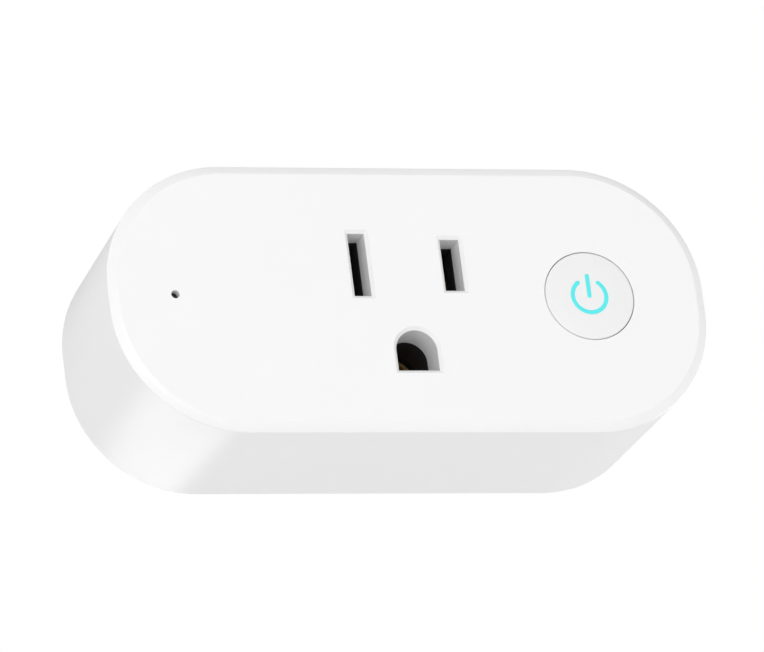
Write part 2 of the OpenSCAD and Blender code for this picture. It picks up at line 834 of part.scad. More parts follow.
// The steel angle that carries the magnetic field round to the armature's hinge.
module relay_yoke() {
    color(steel) relay_place() {
        translate([yoke_x[0], -yoke_half_w, relay_base_top])
            cube([yoke_x[1] - yoke_x[0], 2 * yoke_half_w, yoke_t]);
        translate([yoke_x[1] - yoke_t, -yoke_half_w, relay_base_top])
            cube([yoke_t, 2 * yoke_half_w, yoke_top - relay_base_top]);
    }
}

module relay_core() {
    foot = relay_base_top + yoke_t;
    color(steel) relay_place() translate([0, 0, foot])
        cylinder(r = core_r, h = yoke_top - armature_gap - foot);
}

module relay_bobbin() {
    foot = relay_base_top + yoke_t;
    color(white) relay_place() difference() {
        union() {
            translate([0, 0, foot]) centred_box(bobbin_flange);
            translate([0, 0, bobbin_top - bobbin_flange.z]) centred_box(bobbin_flange);
            translate([0, 0, foot]) cylinder(r = bobbin_r, h = bobbin_top - foot);
        }
        translate([0, 0, foot - past]) cylinder(r = core_r, h = bobbin_top);
    }
}

module relay_coil() {
    foot = relay_base_top + yoke_t + bobbin_flange.z;
    top = bobbin_top - bobbin_flange.z;
    color(copper) relay_place() difference() {
        translate([0, 0, foot]) cylinder(r = coil_r, h = top - foot);
        translate([0, 0, foot - past]) cylinder(r = bobbin_r, h = top);
    }
}

// The hinged steel plate that the core pulls down. It rocks on the top of the yoke.
module relay_armature() {
    color(steel) relay_place() translate([armature_x[0], -armature_half_w, yoke_top + armature_rest])
        cube([armature_x[1] - armature_x[0], 2 * armature_half_w, armature_t]);
}

module relay_moving_contact() {
    spring_z = yoke_top + armature_rest + armature_t;
    rivet_foot = spring_z - armature_t + contact_gap - rivet_t;
    color(copper) relay_place() {
        translate([spring_x[0], -spring_half_w, spring_z])
            cube([spring_x[1] - spring_x[0], 2 * spring_half_w, spring_t]);
        translate([rivet_x, 0, rivet_foot])
            cylinder(r = rivet_r, h = spring_z - rivet_foot + spring_t + rivet_t / 2);
    }
}

module relay_fixed_contact() {
    rivet_top = yoke_top + armature_rest - rivet_t;
    arm_z = rivet_top - rivet_t - spring_t;
    color(copper) relay_place() {
        translate([rivet_x, 0, arm_z]) cylinder(r = rivet_r, h = rivet_top - arm_z);
        translate([fixed_arm[0], -spring_half_w, arm_z])
            cube([fixed_arm[1] - fixed_arm[0], 2 * spring_half_w, spring_t]);
        translate([fixed_arm[0], -spring_half_w, relay_base_top])
            cube([spring_t, 2 * spring_half_w, arm_z - relay_base_top + spring_t]);
    }
}

// Two aluminium cans with a crimped neck, standing on the board.
module smoothing_capacitors() {
    neck_r = cap_r - cap_crimp;
    color(black) at_each(cap_at) {
        translate([0, 0, board_top]) rotate_extrude() polygon([[0, 0], [cap_r, 0],
            [cap_r, cap_crimp_z - cap_crimp], [neck_r, cap_crimp_z], [cap_r, cap_crimp_z + cap_crimp],
            [cap_r, cap_h - cap_crimp], [neck_r, cap_h], [0, cap_h]]);
        for (dx = cap_leads) translate([dx, 0, tail_z])
            cylinder(r = lead_r, h = board_top - tail_z + past);
    }
}

module varistor() {
    color(relay_blue) translate([varistor_at.x, varistor_at.y, 0]) {
        translate([0, varistor_t / 2, board_top + varistor_r + 1]) rotate([90, 0, 0])
            cylinder(r = varistor_r, h = varistor_t);
        for (s = [-1, 1]) translate([s * varistor_lead_x, 0, tail_z])
            cylinder(r = lead_r, h = board_top - tail_z + varistor_r);
    }
}

module fuse() {
    z = board_top + fuse_z;
    color(brass) translate([fuse_at.x, fuse_at.y, 0]) {
        translate([-fuse_l / 2, 0, z]) rotate([0, 90, 0]) cylinder(r = fuse_r, h = fuse_l);
        translate([-fuse_lead_x, 0, z]) rotate([0, 90, 0]) cylinder(r = lead_r, h = 2 * fuse_lead_x);
        for (s = [-1, 1]) translate([s * fuse_lead_x, 0, tail_z]) {
            cylinder(r = lead_r, h = z - tail_z);
            translate([0, 0, z - tail_z]) sphere(r = lead_r);
        }
    }
}

module choke_core() {
    color(smoke) translate([choke_at.x, choke_at.y, 0]) {
        translate([0, 0, board_top]) cylinder(r = choke_r, h = choke_flange_t);
        translate([0, 0, board_top]) cylinder(r = choke_neck_r, h = choke_h);
        translate([0, 0, board_top + choke_h - choke_flange_t])
            cylinder(r = choke_r, h = choke_flange_t);
        for (s = [-1, 1]) translate([s * choke_lead, 0, tail_z])
            cylinder(r = lead_r, h = board_top - tail_z + past);
    }
}

module choke_winding() {
    color(copper) translate([choke_at.x, choke_at.y, board_top + choke_flange_t]) difference() {
        cylinder(r = choke_r - 0.2, h = choke_h - 2 * choke_flange_t);
        translate([0, 0, -past]) cylinder(r = choke_neck_r, h = choke_h);
    }
}

module rectifier() {
    color(black) translate([rectifier_at.x, rectifier_at.y, board_top]) centred_box(rectifier_size);
}

module regulator() {
    color(black) translate([regulator_at.x, regulator_at.y, board_top]) centred_box(regulator_size);
}

in_wall() {
    front_shell();
    rear_cover();
    rear_cover_screws();
    button_cap();
    button_light_guide();
    button_light_shroud();
    indicator_light_pipe();
    indicator_led();
    button_leds();
    line_blade();
    neutral_blade();
    ground_pin();
    contact_carrier();
    line_contact();
    neutral_contact();
    ground_contact();
    insulation_sheet();
    main_board();
    main_board_screws();
    control_board();
    control_board_screws();
    switch_body();
    switch_cover();
    switch_plunger();
    switch_terminals();
    header_block();
    header_pins();
    radio_board();
    radio_shield();
    radio_antenna();
    relay_base();
    relay_case();
    relay_yoke();
    relay_core();
    relay_bobbin();
    relay_coil();
    relay_armature();
    relay_moving_contact();
    relay_fixed_contact();
    smoothing_capacitors();
    varistor();
    fuse();
    choke_core();
    choke_winding();
    rectifier();
    regulator();
}
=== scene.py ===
"""The looks of a smart plug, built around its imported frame: housing, outlet, lit button and inside."""
import json
import math

import bmesh
import bpy
from mathutils import Matrix, Vector


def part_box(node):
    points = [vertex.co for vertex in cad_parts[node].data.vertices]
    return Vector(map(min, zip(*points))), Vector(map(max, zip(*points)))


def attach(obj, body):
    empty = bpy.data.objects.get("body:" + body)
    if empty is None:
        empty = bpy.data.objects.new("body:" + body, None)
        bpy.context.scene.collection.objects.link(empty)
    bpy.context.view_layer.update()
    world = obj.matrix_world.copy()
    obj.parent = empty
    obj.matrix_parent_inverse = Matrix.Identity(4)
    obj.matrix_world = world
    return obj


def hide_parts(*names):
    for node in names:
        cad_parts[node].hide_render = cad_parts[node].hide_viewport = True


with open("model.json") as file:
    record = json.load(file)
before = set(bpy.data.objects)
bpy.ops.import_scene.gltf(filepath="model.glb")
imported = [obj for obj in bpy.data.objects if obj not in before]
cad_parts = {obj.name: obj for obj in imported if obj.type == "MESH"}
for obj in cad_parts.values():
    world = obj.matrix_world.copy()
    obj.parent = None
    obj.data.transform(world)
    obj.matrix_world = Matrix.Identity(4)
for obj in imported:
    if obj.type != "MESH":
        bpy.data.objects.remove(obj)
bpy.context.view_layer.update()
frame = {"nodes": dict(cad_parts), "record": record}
nodes = frame["nodes"]
scene = bpy.context.scene
MM = 0.001

# ---------------------------------------------------------------- camera


def looking(azimuth, elevation, roll):
    """A camera's right, up and back directions."""
    a, e, r = map(math.radians, (azimuth, elevation, roll))
    back = Vector((math.sin(a) * math.cos(e), -math.cos(a) * math.cos(e), math.sin(e)))
    level = Vector((math.cos(a), math.sin(a), 0))
    rise = back.cross(level)
    right = level * math.cos(r) + rise * math.sin(r)
    return right, back.cross(right), back


camera = bpy.data.objects.new("camera", bpy.data.cameras.new("camera"))
camera.data.sensor_width = 36.0
camera.data.lens = 471.2
camera.data.clip_start, camera.data.clip_end = 0.01, 20.0
right, up, back = looking(azimuth=-20.44, elevation=-20.96, roll=-7.43)
spot = Vector((-0.42451, -1.15201, -0.46470))
camera.matrix_world = Matrix((right, up, back)).transposed().to_4x4()
camera.matrix_world.translation = spot
scene.collection.objects.link(camera)
scene.camera = camera

# ---------------------------------------------------------------- sizes, in mm

# Pieces are drawn from the front: x runs towards the button, y up and z out of the wall.
shell_lo, shell_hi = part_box("front_shell")
DEPTH = -shell_lo.y / MM
END_R = (shell_hi.z - shell_lo.z) / MM / 2
HALF = (shell_hi.x - shell_lo.x) / MM / 2
CORNER, TAPER = 16.9, 0.8
WALL, FACE = 2.0, 2.2
CEILING = DEPTH - FACE
EDGE_IN, EDGE_DEEP = 1.25, 0.7
RIM, RIM_DEEP = 0.8, 0.7

# The outlet.
SLOT_Y, SLOT_X = 4.7, 6.35
NEUTRAL_W, LINE_W = 2.3, 2.6
NEUTRAL_H, LINE_H = 8.7, 7.15
GROUND_Y, GROUND_R = SLOT_Y - 11.9, 2.8
LEAD_IN, LEAD_DEEP = 0.45, 0.4
SLOT_COLLAR, GROUND_COLLAR, COLLAR_T = DEPTH - 3.5, DEPTH - 4.6, 1.4

# The button and the pinhole.
BUTTON = Vector((24.6, 0.35))
BUTTON_R, BUTTON_GAP = 6.06, 0.1
CUP_R, CUP_FLOOR = 4.6, DEPTH - 1.4
SYMBOL_R, SYMBOL_LINE, SYMBOL_GAP, SYMBOL_BAR = 2.3, 0.56, 37, 2.79
PINHOLE, PINHOLE_R = Vector((-31.9, 0.35)), 0.55

# The wall side.
BLADE_T, LINE_BLADE, NEUTRAL_BLADE, BLADE_L = 1.5, 6.35, 7.9, 17.5
PIN_R, PIN_L, PIN_NECK = 2.39, 20.6, 1.9
COVER_R, COVER_T, COVER_EDGE = END_R - WALL - TAPER - 0.15, 2.0, 0.3

# The inside.
BOARD_TOP = 5.4
CONTROL_TOP, CONTROL_T = DEPTH - 12.4, 1.2
RELAY_X, RELAY_BASE = -20.3, BOARD_TOP + 1.8
YOKE_T, YOKE_H = 1.2, 9.6
FLANGE_T, BOBBIN_TOP = 0.7, RELAY_BASE + YOKE_H - 0.9

# The places of each pair of screws, and the radius of its shank.
COVER_SCREWS, COVER_SCREW_R = [(33.4, 6.3), (-33.4, -6.3)], 1.25
CONTROL_SCREWS, CONTROL_SCREW_R = [(15.2, 9.6), (15.2, -9.6)], 0.9
BOARD_SCREWS, BOARD_SCREW_R = [(-27.5, 11.5), (27.5, -11.5)], 0.95
COVER_SEAT, COVER_SCREW_TIP, CONTROL_SCREW_L = 1.15, 11, 4.2

# ---------------------------------------------------------------- outlines and closed shells

ROUND, FINE = 48, 96


def turns(steps, through=90):
    """Angles in equal steps from nothing to the degrees given."""
    return [math.radians(through * i / steps) for i in range(steps + 1)]


def arc(centre, r, start, end, steps):
    angles = [math.radians(start + (end - start) * i / steps) for i in range(steps + 1)]
    return [(centre[0] + r * math.cos(t), centre[1] + r * math.sin(t)) for t in angles]


def circle(centre, r, steps=ROUND):
    return arc(centre, r, 0, 360, steps)[:-1]


def rectangle(centre, w, h, corner=0.0, steps=6):
    x, y = centre
    corners = [(-1, -1), (1, -1), (1, 1), (-1, 1)]
    if not corner:
        return [(x + a * w / 2, y + b * h / 2) for a, b in corners]
    out = []
    for i, (a, b) in enumerate(corners):
        middle = (x + a * (w / 2 - corner), y + b * (h / 2 - corner))
        out += arc(middle, corner, 180 + 90 * i, 270 + 90 * i, steps)
    return out


def long_round(r):
    """The housing's outline, drawn in or out to half height r."""
    d = END_R - r
    return rectangle((0, 0), 2 * (HALF - d), 2 * r, CORNER - d, ROUND)


def arch(grow):
    """The ground hole: round above, flat below, opened out by grow."""
    r = GROUND_R + grow
    return arc((0, GROUND_Y), r, 0, 180, ROUND) + [(-r, GROUND_Y - r), (r, GROUND_Y - r)]


def inset(outline, d):
    """The outline moved inwards by d. It runs anticlockwise, and corners keep their angle."""
    n = len(outline)
    out = []
    for i, (x, y) in enumerate(outline):
        before, after = outline[i - 1], outline[(i + 1) % n]
        came = Vector((x - before[0], y - before[1])).normalized()
        goes = Vector((after[0] - x, after[1] - y)).normalized()
        across_came, across_goes = Vector((-came.y, came.x)), Vector((-goes.y, goes.x))
        mitre = (across_came + across_goes) / (1 + across_came.dot(across_goes))
        out.append((x + mitre.x * d, y + mitre.y * d))
    return out


def rounding(r, height, steps=5):
    """Insets and heights of a rounded upper edge that ends at height."""
    return [(r * (1 - math.cos(t)), height - r + r * math.sin(t)) for t in turns(steps)]


def foot_round(r, across, deep, steps):
    """Half heights and heights of a rounded lower edge that ends at half height r."""
    return [(r - across * (1 - math.sin(t)), deep * (1 - math.cos(t))) for t in turns(steps)]


# Stands a drawn piece up as the plug is used, with the wall face in the plane y = 0.
IN_WALL = Matrix(((MM, 0, 0, 0), (0, 0, -MM, 0), (0, MM, 0, 0), (0, 0, 0, 1)))


class Shell:
    """A closed mesh made of loops, walls between them and flat caps."""

    def __init__(self):
        self.bm = bmesh.new()

    def loop(self, outline, z):
        return [self.bm.verts.new((x, y, z)) for x, y in outline]

    def wall(self, a, b):
        n = len(a)
        for i in range(n):
            j = (i + 1) % n
            self.bm.faces.new((a[i], a[j], b[j], b[i]))

    def sweep(self, steps):
        """Walls through a list of (outline, z). Returns the first and the last loop."""
        loops = [self.loop(outline, z) for outline, z in steps]
        for a, b in zip(loops, loops[1:]):
            self.wall(a, b)
        return loops[0], loops[-1]

    def cap(self, *loops):
        edges = []
        for loop in loops:
            for i, v in enumerate(loop):
                e = self.bm.edges.get((v, loop[i - 1]))
                edges.append(e or self.bm.edges.new((v, loop[i - 1])))
        bmesh.ops.triangle_fill(self.bm, use_beauty=True, use_dissolve=False, edges=edges)

    def plate(self, outline, low, high, top_r=0.0, foot_r=0.0, holes=()):
        """A flat plate with rounded edges and straight holes."""
        profile = []
        if foot_r:
            profile += [(d, low + high - z) for d, z in reversed(rounding(foot_r, high))]
        else:
            profile += [(0, low)]
        profile += rounding(top_r, high) if top_r else [(0, high)]
        foot, top = self.sweep([(inset(outline, d), z) for d, z in profile])
        lows, highs = [foot], [top]
        for hole in holes:
            a, b = self.sweep([(hole, low), (hole, high)])
            lows.append(a)
            highs.append(b)
        self.cap(*lows)
        self.cap(*highs)

    def piece(self, name, body, slot, stands_for=(), matrix=IN_WALL, sharp=24):
        bm = self.bm
        bmesh.ops.transform(bm, matrix=matrix, verts=bm.verts)
        bmesh.ops.recalc_face_normals(bm, faces=bm.faces)
        mesh = bpy.data.meshes.new(name)
        bm.to_mesh(mesh)
        bm.free()
        return settle(mesh, name, body, slot, stands_for, sharp)


def settle(mesh, name, body, slot, stands_for=(), sharp=24):
    """Names the finished mesh, gives it its material and lets it ride."""
    for face in mesh.polygons:
        face.use_smooth = True
    mesh.set_sharp_from_angle(angle=math.radians(sharp))
    mesh.materials.clear()
    mesh.materials.append(finish_of[slot])
    piece = bpy.data.objects.new(name, mesh)
    scene.collection.objects.link(piece)
    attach(piece, body)
    if stands_for:
        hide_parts(*stands_for)
    return piece


# ---------------------------------------------------------------- finishes


class Net:
    """Short calls for wiring a node tree."""

    def __init__(self, tree):
        self.tree = tree

    def add(self, kind, inputs=None, **settings):
        node = self.tree.nodes.new(kind)
        for key, value in settings.items():
            setattr(node, key, value)
        for key, value in (inputs or {}).items():
            socket = node.inputs[key]
            if isinstance(value, bpy.types.NodeSocket):
                self.tree.links.new(value, socket)
            else:
                socket.default_value = value
        return node

    def maths(self, operation, a, b=0.0, c=0.0):
        return self.add("ShaderNodeMath", {0: a, 1: b, 2: c}, operation=operation).outputs[0]

    def spread(self, value, low, high, to_low, to_high):
        node = self.add("ShaderNodeMapRange", {"Value": value, "From Min": low, "From Max": high,
                                               "To Min": to_low, "To Max": to_high})
        return node.outputs["Result"]

    def blend(self, factor, a, b, mode="MIX"):
        node = self.add("ShaderNodeMix", data_type="RGBA", blend_type=mode)
        for index, value in ((0, factor), (6, a), (7, b)):
            if isinstance(value, bpy.types.NodeSocket):
                self.tree.links.new(value, node.inputs[index])
            else:
                node.inputs[index].default_value = value
        return node.outputs[2]


def group(name, inputs, outputs):
    """An empty shader group with named sockets: (name, kind, default)."""
    tree = bpy.data.node_groups.new(name, "ShaderNodeTree")
    kinds = {"value": "NodeSocketFloat", "colour": "NodeSocketColor", "vector": "NodeSocketVector"}
    for label, kind, default in inputs:
        socket = tree.interface.new_socket(label, in_out="INPUT", socket_type=kinds[kind])
        socket.default_value = default
    for label, kind in outputs:
        tree.interface.new_socket(label, in_out="OUTPUT", socket_type=kinds[kind])
    net = Net(tree)
    return net, net.add("NodeGroupInput").outputs, net.add("NodeGroupOutput").inputs


def moulded_group():
    """Injection-moulded plastic: a fine grain, soft flow clouds and an uneven gloss."""
    net, given, out = group(
        "moulded_plastic",
        [("Colour", "colour", (0.8, 0.8, 0.8, 1)), ("Cloud", "value", 0.02),
         ("Grain mm", "value", 0.12), ("Roughness", "value", 0.4), ("Uneven", "value", 0.05)],
        [("Colour", "colour"), ("Roughness", "value"), ("Height", "value")])
    place = net.add("ShaderNodeTexCoord").outputs["Object"]
    tight = net.maths("DIVIDE", 1000.0, given["Grain mm"])
    grain = net.add("ShaderNodeTexNoise", {"Vector": place, "Scale": tight, "Detail": 3.0,
                                           "Roughness": 0.6}).outputs["Fac"]
    pits = net.add("ShaderNodeTexVoronoi", {"Vector": place, "Scale": tight},
                   feature="SMOOTH_F1").outputs["Distance"]
    flow = net.add("ShaderNodeTexNoise", {"Vector": place, "Scale": 55.0, "Detail": 4.0,
                                          "Distortion": 0.6}).outputs["Fac"]
    handled = net.add("ShaderNodeTexNoise", {"Vector": place, "Scale": 260.0, "Detail": 5.0,
                                             "Roughness": 0.65}).outputs["Fac"]
    shade = net.maths("MULTIPLY_ADD", net.maths("SUBTRACT", flow, 0.5), given["Cloud"], 1.0)
    grey = net.add("ShaderNodeCombineColor", {"Red": shade, "Green": shade, "Blue": shade})
    tone = net.blend(1.0, given["Colour"], grey.outputs[0], "MULTIPLY")
    net.tree.links.new(tone, out["Colour"])
    wander = net.maths("ADD", net.maths("SUBTRACT", handled, 0.5),
                       net.maths("MULTIPLY", net.maths("SUBTRACT", grain, 0.5), 0.5))
    rough = net.maths("MULTIPLY_ADD", wander, given["Uneven"], given["Roughness"])
    net.tree.links.new(rough, out["Roughness"])
    net.tree.links.new(net.maths("MULTIPLY_ADD", pits, 0.5, grain), out["Height"])
    return net.tree


def metal_group():
    """Drawn or stamped metal: fine streaks along one direction and blotchy tarnish."""
    net, given, out = group(
        "drawn_metal",
        [("Colour", "colour", (0.7, 0.7, 0.7, 1)), ("Tarnish", "colour", (0.5, 0.5, 0.5, 1)),
         ("Tarnish Amount", "value", 0.2), ("Stretch", "vector", (9000.0, 400.0, 9000.0)),
         ("Roughness", "value", 0.3), ("Uneven", "value", 0.15)],
        [("Colour", "colour"), ("Roughness", "value"), ("Height", "value")])
    place = net.add("ShaderNodeTexCoord").outputs["Object"]
    along = net.add("ShaderNodeVectorMath", {0: place, 1: given["Stretch"]}, operation="MULTIPLY")
    streak = net.add("ShaderNodeTexNoise", {"Vector": along.outputs[0], "Scale": 1.0,
                                            "Detail": 4.0, "Roughness": 0.7}).outputs["Fac"]
    blotch = net.add("ShaderNodeTexNoise", {"Vector": place, "Scale": 300.0, "Detail": 6.0,
                                            "Roughness": 0.62}).outputs["Fac"]
    mask = net.spread(blotch, 0.42, 0.72, 0.0, 1.0)
    amount = net.maths("MULTIPLY", mask, given["Tarnish Amount"])
    tone = net.blend(amount, given["Colour"], given["Tarnish"])
    net.tree.links.new(tone, out["Colour"])
    rough = net.maths("MULTIPLY_ADD", net.maths("SUBTRACT", streak, 0.5), given["Uneven"],
                      given["Roughness"])
    rough = net.maths("MULTIPLY_ADD", amount, 0.3, rough)
    net.tree.links.new(rough, out["Roughness"])
    net.tree.links.new(streak, out["Height"])
    return net.tree


def board_group():
    """Solder mask over etched tracks, with small tinned vias."""
    net, given, out = group(
        "printed_board",
        [("Mask", "colour", (0.01, 0.09, 0.035, 1)), ("Track", "colour", (0.03, 0.16, 0.06, 1)),
         ("Pitch mm", "value", 1.3), ("Roughness", "value", 0.3)],
        [("Colour", "colour"), ("Roughness", "value"), ("Height", "value")])
    place = net.add("ShaderNodeTexCoord").outputs["Object"]
    parts = net.add("ShaderNodeSeparateXYZ", {0: place}).outputs
    flat = net.add("ShaderNodeCombineXYZ", {"X": parts["X"], "Y": parts["Z"]}).outputs[0]
    scale = net.maths("DIVIDE", 1000.0, given["Pitch mm"])
    wavy = net.add("ShaderNodeTexNoise", {"Vector": flat, "Scale": 180.0, "Detail": 1.0})
    bent = net.add("ShaderNodeVectorMath", {0: wavy.outputs["Color"], 1: (0.0016, 0.0016, 0), 2: flat},
                   operation="MULTIPLY_ADD").outputs[0]
    tracks = net.add("ShaderNodeTexBrick", {"Vector": bent, "Scale": scale, "Mortar Size": 0.12,
                                            "Mortar Smooth": 0.2, "Brick Width": 3.4,
                                            "Row Height": 0.7})
    etched = tracks.outputs["Fac"]
    via_scale = net.maths("MULTIPLY", scale, 0.42)
    dots = net.add("ShaderNodeTexVoronoi", {"Vector": flat, "Scale": via_scale},
                   voronoi_dimensions="2D").outputs["Distance"]
    via = net.spread(dots, 0.1, 0.13, 1.0, 0.0)
    speck = net.add("ShaderNodeTexNoise", {"Vector": place, "Scale": 900.0,
                                           "Detail": 4.0}).outputs["Fac"]
    tone = net.blend(etched, given["Mask"], given["Track"])
    net.tree.links.new(net.blend(via, tone, (0.42, 0.42, 0.4, 1)), out["Colour"])
    rough = net.maths("MULTIPLY_ADD", net.maths("SUBTRACT", speck, 0.5), 0.2, given["Roughness"])
    net.tree.links.new(rough, out["Roughness"])
    net.tree.links.new(net.maths("MULTIPLY_ADD", speck, 0.2, etched), out["Height"])
    return net.tree


moulded = moulded_group()
drawn = metal_group()
printed = board_group()


def material(name, tree, inputs, grain, **shader):
    """A surface whose colour, roughness and relief come from one group. grain is the relief in mm."""
    made = bpy.data.materials.new(name)
    made.use_nodes = True
    net = Net(made.node_tree)
    surface = made.node_tree.nodes["Principled BSDF"]
    source = net.add("ShaderNodeGroup", node_tree=tree)
    for key, value in inputs.items():
        source.inputs[key].default_value = value
    link = made.node_tree.links.new
    link(source.outputs["Colour"], surface.inputs["Base Color"])
    link(source.outputs["Roughness"], surface.inputs["Roughness"])
    bump = net.add("ShaderNodeBump", {"Height": source.outputs["Height"], "Strength": 1.0,
                                      "Distance": grain * MM})
    link(bump.outputs["Normal"], surface.inputs["Normal"])
    for key, value in shader.items():
        surface.inputs[key.replace("_", " ")].default_value = value
    return made


def plastic(name, colour, rough=0.4, grain=0.12, deep=0.002, cloud=0.02, uneven=0.06, **shader):
    return material(name, moulded, {"Colour": (*colour, 1), "Cloud": cloud, "Grain mm": grain,
                                    "Roughness": rough, "Uneven": uneven}, deep, **shader)


def metal(name, colour, tarnish, amount=0.2, rough=0.3, stretch=(9000, 400, 9000), deep=0.0015,
          uneven=0.15):
    return material(name, drawn, {"Colour": (*colour, 1), "Tarnish": (*tarnish, 1),
                                  "Tarnish Amount": amount, "Stretch": stretch,
                                  "Roughness": rough, "Uneven": uneven}, deep, Metallic=1.0)


def board(name, mask, track, pitch):
    return material(name, printed, {"Mask": (*mask, 1), "Track": (*track, 1), "Pitch mm": pitch,
                                    "Roughness": 0.3}, 0.03)


# One finish for each material slot in the record.
finish_of = {
    "white_shell": plastic("shell_white", (0.87, 0.87, 0.87), rough=0.34, grain=0.1),
    "cap_white": plastic("button_white", (0.825, 0.825, 0.825), rough=0.42, grain=0.1),
    "cyan_guide": plastic("lit_cyan", (0.02, 0.16, 0.17), rough=0.35,
                          Emission_Color=(0.095, 0.83, 0.84, 1), Emission_Strength=0.77),
    "white_inner": plastic("inner_white", (0.8, 0.8, 0.78), rough=0.6),
    "smoke_guide": plastic("smoked_clear", (0.01, 0.01, 0.012), rough=0.12, cloud=0.3),
    "led_white": plastic("lamp_body", (0.8, 0.78, 0.66), rough=0.35),
    "carrier_black": plastic("carrier_black", (0.022, 0.022, 0.023), rough=0.6, grain=0.2),
    "sheet_film": plastic("film_cream", (0.7, 0.62, 0.42), rough=0.25, cloud=0.2),
    "board_laminate": board("board_green", (0.008, 0.08, 0.03), (0.03, 0.17, 0.07), 1.3),
    "switch_black": plastic("switch_black", (0.015, 0.015, 0.017), rough=0.5),
    "radio_laminate": board("radio_blue", (0.006, 0.02, 0.07), (0.03, 0.08, 0.19), 0.8),
    "relay_black": plastic("relay_black", (0.02, 0.02, 0.022), rough=0.45),
    "relay_blue": plastic("relay_blue", (0.01, 0.05, 0.22), rough=0.2, cloud=0.1),
    "bobbin_white": plastic("bobbin_cream", (0.7, 0.66, 0.55), rough=0.5),
    "can_sleeve": plastic("can_sleeve", (0.015, 0.015, 0.03), rough=0.3, cloud=0.2),
    "varistor_blue": plastic("varistor_blue", (0.01, 0.06, 0.27), rough=0.35, grain=0.4, deep=0.02),
    "fuse_ceramic": plastic("fuse_coat", (0.5, 0.42, 0.25), rough=0.55, grain=0.3, deep=0.02),
    "ferrite": plastic("ferrite", (0.03, 0.03, 0.032), rough=0.65, grain=0.25, deep=0.01),
    "chip_black": plastic("chip_black", (0.012, 0.012, 0.013), rough=0.55, grain=0.15, deep=0.004),
    "blade_nickel": metal("nickel_plate", (0.72, 0.69, 0.63), (0.5, 0.44, 0.34), 0.35, rough=0.27),
    "contact_brass": metal("spring_brass", (0.5, 0.34, 0.14), (0.25, 0.15, 0.07), 0.4, rough=0.4),
    "screw_steel": metal("zinc_steel", (0.6, 0.61, 0.63), (0.4, 0.38, 0.32), 0.4, rough=0.32,
                         stretch=(3000, 3000, 3000)),
    "sheet_steel": metal("tinned_sheet", (0.62, 0.63, 0.65), (0.42, 0.41, 0.39), 0.3),
    "tinned_steel": metal("tinned_wire", (0.68, 0.69, 0.71), (0.5, 0.5, 0.5), 0.3),
    "pin_brass": metal("plated_pin", (0.8, 0.6, 0.28), (0.5, 0.3, 0.12), 0.3),
    "trace_copper": metal("bare_copper", (0.8, 0.42, 0.25), (0.4, 0.18, 0.1), 0.4),
    "relay_iron": metal("plated_iron", (0.5, 0.5, 0.5), (0.3, 0.28, 0.25), 0.4, rough=0.35),
    "coil_copper": metal("coil_wire", (0.62, 0.24, 0.1), (0.35, 0.12, 0.05), 0.4, rough=0.3),
    "contact_copper": metal("spring_copper", (0.75, 0.42, 0.28), (0.45, 0.22, 0.12), 0.3),
}

# ---------------------------------------------------------------- housing


def housing_profile():
    """Half heights and heights of the side wall, from its round rim at the wall to the flat face."""
    out = foot_round(END_R - TAPER, RIM, RIM_DEEP, 10)
    # A soft corner at the top of the side wall.
    soft, steep, gentle = 0.2, 57, 68
    wall_r, wall_top = END_R - 0.006, DEPTH - EDGE_DEEP - 0.13
    for t in turns(6, steep):
        out.append((wall_r - soft * (1 - math.cos(t)), wall_top + soft * math.sin(t)))
    # The sloping edge round the face, a little less steep towards the face.
    (low_r, low), (high_r, high) = out[-1], (END_R - EDGE_IN, DEPTH)
    bow = arc((0, 0), 1, steep, gentle, 12)
    for x, y in bow[1:]:
        across = (bow[0][0] - x) / (bow[0][0] - bow[-1][0])
        rise = (y - bow[0][1]) / (bow[-1][1] - bow[0][1])
        out.append((low_r + (high_r - low_r) * across, low + (high - low) * rise))
    return out


def slots(s, face, ceiling):
    """The collar behind both slots, and the slots through it."""
    collar = rectangle((0, SLOT_Y), 2 * SLOT_X + NEUTRAL_W + 2 * COLLAR_T, NEUTRAL_H + 2 * LEAD_IN)
    low, high = s.sweep([(collar, SLOT_COLLAR), (collar, CEILING)])
    ceiling.append(high)
    feet = [low]
    for x, w, h in ((-SLOT_X, NEUTRAL_W, NEUTRAL_H), (SLOT_X, LINE_W, LINE_H)):
        inner = rectangle((x, SLOT_Y), w, h)
        outer = rectangle((x, SLOT_Y), w + 2 * LEAD_IN, h + 2 * LEAD_IN)
        foot, mouth = s.sweep([(inner, SLOT_COLLAR), (inner, DEPTH - LEAD_DEEP), (outer, DEPTH)])
        feet.append(foot)
        face.append(mouth)
    s.cap(*feet)


def ground_hole(s, face, ceiling):
    size = 2 * (GROUND_R + COLLAR_T)
    collar = rectangle((0, GROUND_Y), size, size)
    low, high = s.sweep([(collar, GROUND_COLLAR), (collar, CEILING)])
    ceiling.append(high)
    foot, mouth = s.sweep([(arch(0), GROUND_COLLAR), (arch(0), DEPTH - LEAD_DEEP),
                           (arch(LEAD_IN), DEPTH)])
    s.cap(low, foot)
    face.append(mouth)


def button_hole(s, face, ceiling):
    hole = circle(BUTTON, BUTTON_R + BUTTON_GAP, FINE)
    mouth = circle(BUTTON, BUTTON_R + BUTTON_GAP + 0.05, FINE)
    low, high = s.sweep([(hole, CEILING), (hole, DEPTH - 0.06), (mouth, DEPTH)])
    ceiling.append(low)
    face.append(high)


